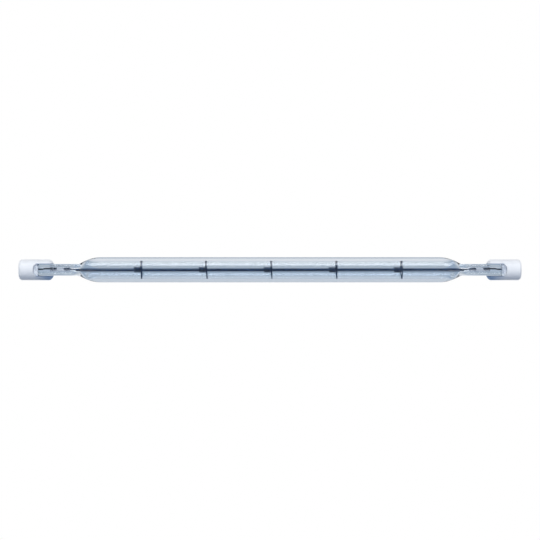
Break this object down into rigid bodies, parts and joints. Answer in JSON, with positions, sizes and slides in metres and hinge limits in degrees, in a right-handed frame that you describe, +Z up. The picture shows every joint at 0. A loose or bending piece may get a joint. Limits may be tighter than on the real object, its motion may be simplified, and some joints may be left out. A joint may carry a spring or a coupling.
{
  "type": "linear halogen bulb",
  "caption": "Double-ended linear halogen bulb: clear quartz tube with a coiled filament on wire ring supports, flat pinched ends and white ceramic caps with sunk contacts.",
  "frame": {"origin": "centre of the lamp, on the tube's axis midway between the two caps", "axes": "+X along the lamp to its right end, +Y through the broad faces of the pinched ends, +Z up"},
  "size_m": [0.189, 0.0094, 0.0094],
  "materials": {
    "quartz": "clear polished quartz",
    "filament": "drawn tungsten, coiled",
    "support_wire": "drawn tungsten",
    "lead": "molybdenum wire, slightly oxidised",
    "foil": "thin molybdenum foil",
    "cap": "unglazed white ceramic, fine and smooth",
    "cement": "white cement, matt",
    "contact": "nickel-plated metal"
  },
  "bodies": {
    "root": {"quartz_envelope": "quartz", "filament": "filament", "support_1": "support_wire", "support_2": "support_wire", "support_3": "support_wire", "support_4": "support_wire", "support_5": "support_wire", "left_inner_lead": "lead", "right_inner_lead": "lead", "left_foil": "foil", "right_foil": "foil", "left_outer_lead": "lead", "right_outer_lead": "lead", "left_end_cap": "cap", "right_end_cap": "cap", "left_cement": "cement", "right_cement": "cement", "left_contact": "contact", "right_contact": "contact"}
  },
  "joints": []
}
